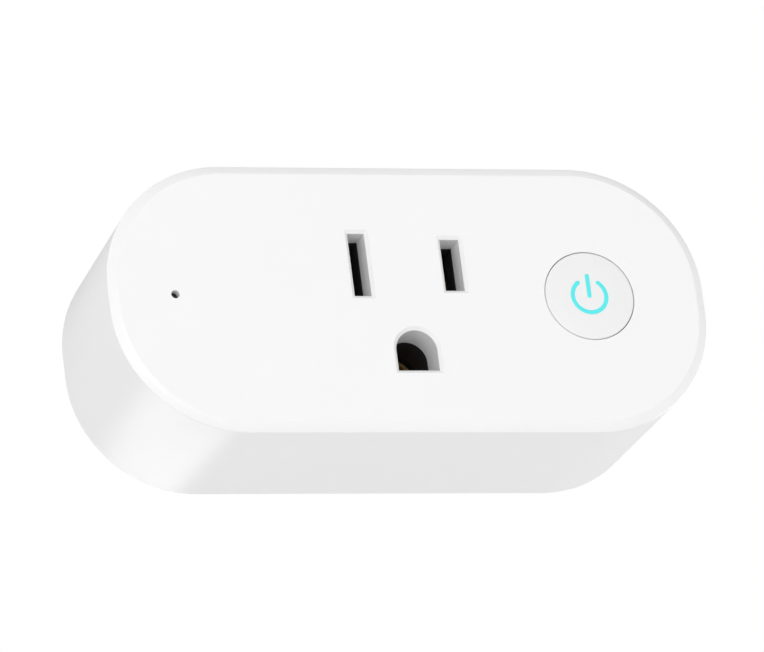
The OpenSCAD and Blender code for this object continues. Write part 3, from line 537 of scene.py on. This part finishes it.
def pinhole(s, face, ceiling):
    """The pinhole, and the sleeve behind it that holds the light pipe."""
    bore_r, sleeve_r, sleeve_foot = 1.1, 1.9, CEILING - 6
    bore, hole = circle(PINHOLE, bore_r), circle(PINHOLE, PINHOLE_R)
    foot, mouth = s.sweep([(bore, sleeve_foot), (bore, CEILING), (hole, CEILING),
                           (hole, DEPTH - 0.05), (circle(PINHOLE, PINHOLE_R + 0.05), DEPTH)])
    face.append(mouth)
    sleeve = circle(PINHOLE, sleeve_r)
    low, high = s.sweep([(sleeve, sleeve_foot), (sleeve, CEILING)])
    s.cap(low, foot)
    ceiling.append(high)


def boss(s, ceiling, place, r, foot, bore_r, tip):
    """A round post down from the ceiling, bored for a screw up to tip."""
    post, bore = circle(place, r), circle(place, bore_r)
    low, high = s.sweep([(post, foot), (post, CEILING)])
    mouth, end = s.sweep([(bore, foot), (bore, tip)])
    s.cap(low, mouth)
    s.cap(end)
    ceiling.append(high)


def front_shell():
    s = Shell()
    foot, rim = s.sweep([(long_round(r), z) for r, z in housing_profile()])
    face, ceiling = [rim], []
    slots(s, face, ceiling)
    ground_hole(s, face, ceiling)
    button_hole(s, face, ceiling)
    pinhole(s, face, ceiling)
    for place in COVER_SCREWS:
        boss(s, ceiling, place, 2.4, COVER_T + 0.1, COVER_SCREW_R, COVER_SCREW_TIP + 0.5)
    for place in CONTROL_SCREWS:
        boss(s, ceiling, place, 1.9, CONTROL_TOP, CONTROL_SCREW_R, CONTROL_TOP + CONTROL_SCREW_L)
    low, high = s.sweep([(long_round(END_R - WALL - TAPER), 0), (long_round(END_R - WALL), CEILING)])
    s.cap(foot, low)
    s.cap(high, *ceiling)
    s.cap(*face)
    s.piece("housing_shell", "housing", "white_shell", ["front_shell"], sharp=12)


front_shell()

# ---------------------------------------------------------------- button


def symbol(grow):
    """Outlines of the open ring and of the bar that stands in its opening, opened out by grow."""
    half = SYMBOL_LINE / 2 + grow
    start, end = 90 + SYMBOL_GAP, 450 - SYMBOL_GAP
    start_tip, end_tip = arc(BUTTON, SYMBOL_R, start, end, 1)
    ring = arc(BUTTON, SYMBOL_R + half, start, end, 72)
    ring += arc(end_tip, half, end, end + 180, 14)[1:-1]
    ring += arc(BUTTON, SYMBOL_R - half, end, start, 72)
    ring += arc(start_tip, half, start + 180, start + 360, 14)[1:-1]
    bar_top = (BUTTON.x, BUTTON.y + SYMBOL_BAR)
    bar = arc(bar_top, half, 0, 180, 14) + arc(BUTTON, half, 180, 360, 14)
    return ring, bar


def button_top():
    """The round cap: a flange behind the face, a cup from below and the symbol cut through."""
    s = Shell()
    foot, flange_r, flange_top = CEILING - 1.3, 7.2, CEILING - 0.1
    edge = [(BUTTON_R - d, z) for d, z in rounding(0.16, DEPTH, 6)]
    steps = [(flange_r, foot), (flange_r, flange_top), (BUTTON_R, flange_top), *edge]
    low, high = s.sweep([(circle(BUTTON, r, FINE), z) for r, z in steps])
    cup = circle(BUTTON, CUP_R, FINE)
    mouth, end = s.sweep([(cup, foot), (cup, CUP_FLOOR)])
    s.cap(low, mouth)
    tops, ends = [high], [end]
    for outline in symbol(0.02):
        a, b = s.sweep([(outline, CUP_FLOOR), (outline, DEPTH)])
        ends.append(a)
        tops.append(b)
    s.cap(*ends)
    s.cap(*tops)
    s.piece("button_top", "button", "cap_white", ["button_cap"])


def symbol_guide():
    """The lit piece under the cap: a disc with the symbol raised on it and a stem to the switch."""
    s = Shell()
    disc_foot, stem_r, stem_end = CUP_FLOOR - 1.2, 1.5, DEPTH - 7.5
    disc, stem = circle(BUTTON, CUP_R - 0.02, FINE), circle(BUTTON, stem_r)
    low, high = s.sweep([(disc, disc_foot), (disc, CUP_FLOOR)])
    stem_foot, stem_top = s.sweep([(circle(BUTTON, stem_r - 0.1), stem_end), (stem, stem_end + 0.1),
                                   (stem, disc_foot)])
    s.cap(stem_foot)
    s.cap(low, stem_top)
    raised = [high]
    for outline in symbol(0.0):
        a, b = s.sweep([(outline, CUP_FLOOR), (outline, DEPTH - 0.02)])
        s.cap(b)
        raised.append(a)
    s.cap(*raised)
    s.piece("power_symbol_guide", "button", "cyan_guide", ["button_light_guide"])


button_top()
symbol_guide()

# ---------------------------------------------------------------- wall side


def rear_cover():
    """The cover, with holes for both blades, a recess round the pin and sunk screw seats."""
    s = Shell()
    edge = foot_round(COVER_R, COVER_EDGE, COVER_EDGE, 5)
    foot, top = s.sweep([(long_round(r), z) for r, z in [*edge, (COVER_R, COVER_T)]])
    holes = []
    for x, w in ((-SLOT_X, NEUTRAL_BLADE), (SLOT_X, LINE_BLADE)):
        hole = rectangle((x, SLOT_Y), BLADE_T, w)
        holes.append([(hole, 0), (hole, COVER_T)])
    pin_at = (0, GROUND_Y)
    mouth, recess, neck = (circle(pin_at, r) for r in (2.62, 2.6, PIN_NECK + 0.01))
    holes.append([(mouth, 0), (recess, 0.05), (recess, 0.3), (neck, 0.3), (neck, COVER_T)])
    for place in COVER_SCREWS:
        mouth, head, shank = (circle(place, r, 40) for r in (2.5, 2.4, 1.35))
        holes.append([(mouth, 0), (head, 0.1), (head, COVER_SEAT), (shank, COVER_SEAT),
                      (shank, COVER_T)])
    lows, highs = [foot], [top]
    for steps in holes:
        a, b = s.sweep(steps)
        lows.append(a)
        highs.append(b)
    s.cap(*lows)
    s.cap(*highs)
    s.piece("wall_cover", "housing", "white_shell", ["rear_cover"])


rear_cover()

# Turns a blade, which is drawn flat, to stand on its edge.
ON_EDGE = Matrix(((0, 0, MM, 0), (0, -MM, 0, 0), (MM, 0, 0, 0), (0, 0, 0, 1)))


def blade(name, node, x, w):
    """A flat blade with cut corners, rounded edges and a detent hole."""
    s = Shell()
    cut, inner_end, hole_at, half = 1.6, 3.8, (SLOT_Y, -11.9), BLADE_T / 2
    outline = [(-w / 2, -BLADE_L + cut), (-w / 2 + cut, -BLADE_L), (w / 2 - cut, -BLADE_L),
               (w / 2, -BLADE_L + cut), (w / 2, inner_end), (-w / 2, inner_end)]
    outline = [(a + SLOT_Y, b) for a, b in outline]
    upper = rounding(0.22, half, 4)
    lower = [(d, -z) for d, z in reversed(upper)]
    low, high = s.sweep([(inset(outline, d), z) for d, z in lower + upper])
    hole, rim = circle(hole_at, 1.6, 40), 0.12
    a, b = s.sweep([(inset(hole, -rim), -half), (hole, -half + rim), (hole, half - rim),
                    (inset(hole, -rim), half)])
    s.cap(low, a)
    s.cap(high, b)
    place = ON_EDGE.copy()
    place.translation = (x * MM, 0, 0)
    s.piece(name, "housing", "blade_nickel", [node], place)


blade("line_blade_plated", "line_blade", SLOT_X, LINE_BLADE)
blade("neutral_blade_plated", "neutral_blade", -SLOT_X, NEUTRAL_BLADE)


def pin():
    """The round ground pin, with a thinner neck in the cover and a head behind it."""
    s = Shell()
    head_r, head_t = 3.2, 0.8
    steps = [(PIN_R * math.sin(t), -PIN_L + PIN_R * (1 - math.cos(t))) for t in turns(16)[1:]]
    steps += [(PIN_R, -0.05), (PIN_R - 0.05, 0), (PIN_NECK, 0), (PIN_NECK, COVER_T),
              (head_r - 0.1, COVER_T), (head_r, COVER_T + 0.1),
              (head_r, COVER_T + head_t - 0.2), (head_r - 0.2, COVER_T + head_t)]
    low, high = s.sweep([(circle((0, GROUND_Y), r, 64), z) for r, z in steps])
    s.cap(low)
    s.cap(high)
    s.piece("ground_pin_plated", "housing", "blade_nickel", ["ground_pin"])


pin()

# ---------------------------------------------------------------- rules for what repeats


def rule(name, inputs):
    """An empty geometry tree with named numbers and a finish to put on what it makes."""
    tree = bpy.data.node_groups.new(name, "GeometryNodeTree")
    kinds = {"geometry": "NodeSocketGeometry", "count": "NodeSocketInt", "length": "NodeSocketFloat",
             "place": "NodeSocketVector", "finish": "NodeSocketMaterial"}
    tree.interface.new_socket("Made", in_out="OUTPUT", socket_type="NodeSocketGeometry")
    for label, kind in [("Piece", "geometry"), *inputs, ("Finish", "finish")]:
        tree.interface.new_socket(label, in_out="INPUT", socket_type=kinds[kind])
    net = Net(tree)
    return net, net.add("NodeGroupInput").outputs, net.add("NodeGroupOutput").inputs


def stood_up(net, geometry, finish):
    """Stands what was drawn in mm up as the plug is used, and gives it its finish."""
    turned = net.add("GeometryNodeTransform", {"Geometry": geometry, "Scale": (MM, MM, MM),
                                               "Rotation": (math.radians(90), 0, 0)})
    return net.add("GeometryNodeSetMaterial", {"Geometry": turned.outputs[0],
                                               "Material": finish}).outputs[0]


def row_rule():
    """Copies of a piece in a straight row, each turned a little further than the one before."""
    net, given, out = rule("pieces_in_a_row", [("Count", "count"), ("First", "place"),
                                               ("Step", "place"), ("Twist", "length")])
    line = net.add("GeometryNodeMeshLine", {"Count": given["Count"], "Start Location": given["First"],
                                            "Offset": given["Step"]}, mode="OFFSET")
    index = net.add("GeometryNodeInputIndex").outputs[0]
    twist = net.maths("MULTIPLY", index, given["Twist"])
    turn = net.add("ShaderNodeCombineXYZ", {"Z": twist}).outputs[0]
    copies = net.add("GeometryNodeInstanceOnPoints", {"Points": line.outputs[0],
                                                      "Instance": given["Piece"], "Rotation": turn})
    real = net.add("GeometryNodeRealizeInstances", {"Geometry": copies.outputs[0]}).outputs[0]
    net.tree.links.new(stood_up(net, real, given["Finish"]), out[0])
    return net.tree


def ring_rule():
    """Copies of a piece round a circle, each facing outwards."""
    net, given, out = rule("pieces_in_a_ring", [("Count", "count"), ("Centre", "place"),
                                                ("Radius", "length")])
    index = net.add("GeometryNodeInputIndex").outputs[0]
    step = net.maths("DIVIDE", 2 * math.pi, given["Count"])
    angle = net.maths("MULTIPLY", index, step)
    x = net.maths("MULTIPLY", given["Radius"], net.maths("COSINE", angle))
    y = net.maths("MULTIPLY", given["Radius"], net.maths("SINE", angle))
    around = net.add("ShaderNodeCombineXYZ", {"X": x, "Y": y}).outputs[0]
    place = net.add("ShaderNodeVectorMath", {0: around, 1: given["Centre"]}, operation="ADD")
    line = net.add("GeometryNodeMeshLine", {"Count": given["Count"], "Offset": (0, 0, 0)},
                   mode="OFFSET")
    moved = net.add("GeometryNodeSetPosition", {"Geometry": line.outputs[0],
                                                "Position": place.outputs[0]})
    turn = net.add("ShaderNodeCombineXYZ", {"Z": angle}).outputs[0]
    copies = net.add("GeometryNodeInstanceOnPoints", {"Points": moved.outputs[0],
                                                      "Instance": given["Piece"], "Rotation": turn})
    real = net.add("GeometryNodeRealizeInstances", {"Geometry": copies.outputs[0]}).outputs[0]
    net.tree.links.new(stood_up(net, real, given["Finish"]), out[0])
    return net.tree


def winding_rule():
    """Round wire wound close in one layer over a former, with the layers below as a solid sleeve."""
    net, given, out = rule("wound_wire", [("Centre", "place"), ("Radius", "length"),
                                          ("Height", "length"), ("Wire", "length")])
    pitch = net.maths("MULTIPLY", given["Wire"], 2.04)
    run = net.maths("SUBTRACT", given["Height"], net.maths("MULTIPLY", given["Wire"], 2.0))
    rotations = net.maths("DIVIDE", run, pitch)
    path_r = net.maths("SUBTRACT", given["Radius"], given["Wire"])
    spiral = net.add("GeometryNodeCurveSpiral", {"Resolution": 40, "Rotations": rotations,
                                                 "Height": run, "Start Radius": path_r,
                                                 "End Radius": path_r})
    section = net.add("GeometryNodeCurvePrimitiveCircle", {"Resolution": 8, "Radius": given["Wire"]})
    wire = net.add("GeometryNodeCurveToMesh", {"Curve": spiral.outputs[0],
                                               "Profile Curve": section.outputs[0], "Fill Caps": True})
    lift = net.add("ShaderNodeCombineXYZ", {"Z": given["Wire"]}).outputs[0]
    raised = net.add("GeometryNodeTransform", {"Geometry": wire.outputs[0], "Translation": lift})
    both = net.add("GeometryNodeJoinGeometry")
    net.tree.links.new(given["Piece"], both.inputs[0])
    net.tree.links.new(raised.outputs[0], both.inputs[0])
    placed = net.add("GeometryNodeTransform", {"Geometry": both.outputs[0],
                                               "Translation": given["Centre"]})
    net.tree.links.new(stood_up(net, placed.outputs[0], given["Finish"]), out[0])
    return net.tree


rows, rings, windings = row_rule(), ring_rule(), winding_rule()


def grown(name, tree, drawn_piece, values, slot, node):
    """Runs a rule on one drawn piece and keeps what it makes as a plain mesh on the housing."""
    bmesh.ops.recalc_face_normals(drawn_piece.bm, faces=drawn_piece.bm.faces)
    mesh = bpy.data.meshes.new(name + "_item")
    drawn_piece.bm.to_mesh(mesh)
    drawn_piece.bm.free()
    start = bpy.data.objects.new(name + "_item", mesh)
    scene.collection.objects.link(start)
    modifier = start.modifiers.new("rule", "NODES")
    modifier.node_group = tree
    given = [socket for socket in tree.interface.items_tree if socket.in_out == "INPUT"]
    sockets = {socket.name: socket.identifier for socket in given}
    for label, value in values.items():
        modifier[sockets[label]] = value
    modifier[sockets["Finish"]] = finish_of[slot]
    view = bpy.context.evaluated_depsgraph_get()
    made = bpy.data.meshes.new_from_object(start.evaluated_get(view))
    bpy.data.objects.remove(start)
    settle(made, name, "housing", slot, [node], sharp=30)


# ---------------------------------------------------------------- screws, pins, lamps, windings


def cross(arm, half):
    """A cross with four square-ended arms, for a screw's recess or a can's vent."""
    out = []
    for i in range(4):
        c, s = math.cos(math.pi / 2 * i), math.sin(math.pi / 2 * i)
        for x, y in ((half, -half), (arm, -half), (arm, half)):
            out.append((x * c - y * s, x * s + y * c))
    return out


def screw(head_r, head_t, shank_r, shank_l, way=1):
    """A pan head with a cross recess under z = 0 and a threaded shank above it, or the other way up."""
    s = Shell()
    flat, core_r, pitch = head_r * 0.62, shank_r * 0.8, 0.55
    steps = [(flat + (head_r - flat) * math.sin(t), -0.4 * head_t - 0.6 * head_t * math.cos(t))
             for t in turns(6)]
    steps += [(head_r, 0), (shank_r, 0), (shank_r, 0.3)]
    z = 0.5
    while z + pitch < shank_l - shank_r:
        steps += [(core_r, z), (core_r, z + 0.12), (shank_r, z + 0.3), (shank_r, z + 0.36)]
        z += pitch
    steps += [(core_r, z), (shank_r * 0.3, shank_l)]
    low, high = s.sweep([(circle((0, 0), r, 32), way * z) for r, z in steps])
    s.cap(high)
    mouth, end = s.sweep([(cross(0.36 * head_r, 0.2), -way * head_t),
                          (cross(0.28 * head_r, 0.12), -way * 0.45 * head_t)])
    s.cap(low, mouth)
    s.cap(end)
    return s


def two_screws(name, node, drawn_screw, places, z, twist):
    (x, y), (next_x, next_y) = places
    grown(name, rows, drawn_screw, {"Count": 2, "First": (x, y, z), "Twist": twist,
                                    "Step": (next_x - x, next_y - y, 0)}, "screw_steel", node)


two_screws("cover_screws_zinc", "rear_cover_screws",
           screw(2.2, 1.0, COVER_SCREW_R, COVER_SCREW_TIP - COVER_SEAT),
           COVER_SCREWS, COVER_SEAT, 0.7)
two_screws("control_screws_zinc", "control_board_screws",
           screw(1.8, 1.4, CONTROL_SCREW_R, CONTROL_T + CONTROL_SCREW_L),
           CONTROL_SCREWS, CONTROL_TOP - CONTROL_T, 0.5)
two_screws("board_screws_zinc", "main_board_screws", screw(1.8, 1.4, BOARD_SCREW_R, 4.4, way=-1),
           BOARD_SCREWS, BOARD_TOP, 0.9)


def square_pin(w, low, high, taper=0.5):
    """A square wire, pointed at both ends."""
    s = Shell()
    point, full = rectangle((0, 0), 0.4 * w, 0.4 * w), rectangle((0, 0), w, w)
    a, b = s.sweep([(point, low), (full, low + taper), (full, high - taper), (point, high)])
    s.cap(a)
    s.cap(b)
    return s


grown("header_pins_plated", rows, square_pin(0.44, 3.0, CONTROL_TOP + 1),
      {"Count": 5, "First": (14, -5.08, 0), "Step": (0, 2.54, 0), "Twist": 0.0},
      "pin_brass", "header_pins")


def lamp():
    """A small surface-mounted lamp with a round well in its top."""
    s = Shell()
    body, well = rectangle((0, 0), 0.8, 1.6, 0.1, 3), circle((0, 0), 0.3, 24)
    foot, rim = s.sweep([(body, 0), (body, 0.62), (inset(body, 0.05), 0.7)])
    mouth, floor = s.sweep([(well, 0.7), (inset(well, 0.06), 0.5)])
    s.cap(foot)
    s.cap(rim, mouth)
    s.cap(floor)
    return s


grown("button_lamps", rings, lamp(), {"Count": 4, "Centre": (*BUTTON, CONTROL_TOP), "Radius": 5.1},
      "led_white", "button_leds")
grown("pinhole_lamp", rows, lamp(), {"Count": 1, "First": (*PINHOLE, BOARD_TOP), "Step": (0, 0, 0),
                                     "Twist": math.pi / 2}, "led_white", "indicator_led")


def sleeve(inner_r, outer_r, height):
    s = Shell()
    outer, inner = circle((0, 0), outer_r, 64), circle((0, 0), inner_r, 64)
    a, b = s.sweep([(outer, 0), (outer, height)])
    c, d = s.sweep([(inner, 0), (inner, height)])
    s.cap(a, c)
    s.cap(b, d)
    return s


coil_foot = RELAY_BASE + YOKE_T + FLANGE_T
coil_h = BOBBIN_TOP - FLANGE_T - coil_foot
choke_h = 4.2
grown("relay_coil_wound", windings, sleeve(2.31, 3.5, coil_h),
      {"Centre": (RELAY_X, 0, coil_foot), "Radius": 3.59, "Height": coil_h, "Wire": 0.085},
      "coil_copper", "relay_coil")
grown("choke_wound", windings, sleeve(1.21, 2.2, choke_h),
      {"Centre": (0, 12.9, BOARD_TOP + 0.9), "Radius": 2.39, "Height": choke_h, "Wire": 0.14},
      "coil_copper", "choke_winding")


def can():
    """An aluminium can in a shrunk sleeve, crimped near its foot, with a scored vent on top."""
    s = Shell()
    r, h, groove, deep, edge = 3.15, 11.5, 1.4, 0.25, 0.25
    steps = [(r - edge, 0), (r - 0.08, 0.08), (r, edge), (r, groove - 0.35)]
    steps += [(r - deep * math.sin(t), groove - 0.3 * math.cos(t)) for t in turns(8, 180)]
    steps += [(r - 0.24 * (1 - math.cos(t)), h - edge + edge * math.sin(t)) for t in turns(5)]
    steps += [(r - 0.45, h), (r - 0.5, h - 0.12)]
    low, high = s.sweep([(circle((0, 0), a, 56), BOARD_TOP + z) for a, z in steps])
    mouth, end = s.sweep([(cross(1.9, 0.1), BOARD_TOP + h - 0.12),
                          (cross(1.9, 0.04), BOARD_TOP + h - 0.22)])
    s.cap(low)
    s.cap(high, mouth)
    s.cap(end)
    lead = [(0.15, 3), (0.3, 3.15), (0.3, BOARD_TOP + 0.05)]
    for x in (-1.25, 1.25):
        a, b = s.sweep([(circle((x, 0), lead_r, 16), z) for lead_r, z in lead])
        s.cap(a)
        s.cap(b)
    return s


grown("smoothing_cans", rows, can(), {"Count": 2, "First": (-21.9, 11.6, 0), "Step": (6.9, 0, 0),
                                      "Twist": 0.0}, "can_sleeve", "smoothing_capacitors")


def cover_box(name, slot, node, centre, size, wall, low, corner, edge):
    """A thin box, open below, with rounded corners and a rounded upper edge."""
    s = Shell()
    w, h, t = size
    high = low + t
    outer = rectangle(centre, w, h, corner, 5)
    inner = rectangle(centre, w - 2 * wall, h - 2 * wall, max(corner - wall, 0.05), 5)
    foot, top = s.sweep([(outer, low)] + [(inset(outer, d), z) for d, z in rounding(edge, high)])
    mouth, end = s.sweep([(inner, low), (inner, high - wall)])
    s.cap(foot, mouth)
    s.cap(end)
    s.cap(top)
    s.piece(name, "housing", slot, [node])


cover_box("relay_case_moulded", "relay_blue", "relay_case", (RELAY_X, 0), (18.8, 15.4, 15.2),
          wall=0.8, low=BOARD_TOP, corner=0.6, edge=0.35)
cover_box("radio_can", "sheet_steel", "radio_shield", (23.3, -2.6), (12, 10.5, 2.2),
          wall=0.25, low=BOARD_TOP + 0.8, corner=0.35, edge=0.22)

# ---------------------------------------------------------------- pieces kept from the frame

slot_of = {row["node"]: row["material_slot"] for row in frame["record"]["subparts"]}
for name, node in nodes.items():
    if not node.hide_render:
        node.data.materials.clear()
        node.data.materials.append(finish_of[slot_of[name]])

# ---------------------------------------------------------------- stage and light

FLOOR_Z, FLOOR_HALF = -0.6, 4
AMBIENT = 0.45

floor_mesh = bpy.data.meshes.new("floor")
floor_corners = [(x, y, FLOOR_Z) for x, y in rectangle((0, 0), 2 * FLOOR_HALF, 2 * FLOOR_HALF)]
floor_mesh.from_pydata(floor_corners, [], [(0, 1, 2, 3)])
floor = bpy.data.objects.new("floor", floor_mesh)
floor_paint = bpy.data.materials.new("floor_paint")
floor_paint.use_nodes = True
paint = floor_paint.node_tree.nodes["Principled BSDF"].inputs
paint["Base Color"].default_value = (0.9, 0.9, 0.9, 1)
paint["Roughness"].default_value = 0.9
floor_mesh.materials.append(floor_paint)
scene.collection.objects.link(floor)

# The camera sees a plain white world, and the plug is lit by a dimmer one.
world = bpy.data.worlds.new("studio")
world.use_nodes = True
scene.world = world
sky = Net(world.node_tree)
seen = sky.add("ShaderNodeLightPath").outputs["Is Camera Ray"]
backdrop = world.node_tree.nodes["Background"]
backdrop.inputs["Color"].default_value = (1, 1, 1, 1)
world.node_tree.links.new(sky.spread(seen, 0.0, 1.0, AMBIENT, 1.0), backdrop.inputs["Strength"])


def softbox(name, towards, distance, size, watts):
    """A flat lamp in the direction given from the plug, facing it."""
    data = bpy.data.lights.new(name, "AREA")
    data.shape = "RECTANGLE"
    data.size, data.size_y = size
    data.energy = watts
    light = bpy.data.objects.new(name, data)
    away = Vector(towards).normalized()
    light.location = away * distance
    light.rotation_mode = "QUATERNION"
    light.rotation_quaternion = away.to_track_quat("Z", "Y")
    scene.collection.objects.link(light)


softbox("key_light", (0.02, -1.0, 0.03), 2.6, (1.8, 1.8), 27.0)
softbox("front_left_light", (-0.5, -0.86, -0.03), 2.6, (1.2, 1.2), 13.0)
softbox("side_light", (-0.8, -0.55, -0.1), 2.0, (0.8, 0.8), 2.5)
softbox("corner_light", (-0.19, 0.875, -0.44), 1.0, (0.75, 0.5), 2.9)
softbox("left_light", (-0.8, 0.3, 0.5), 0.9, (0.6, 0.6), 2.9)
softbox("low_right_light", (0.9, 0.35, -0.3), 0.8, (0.4, 0.4), 3.2)

scene.view_settings.view_transform = "Standard"
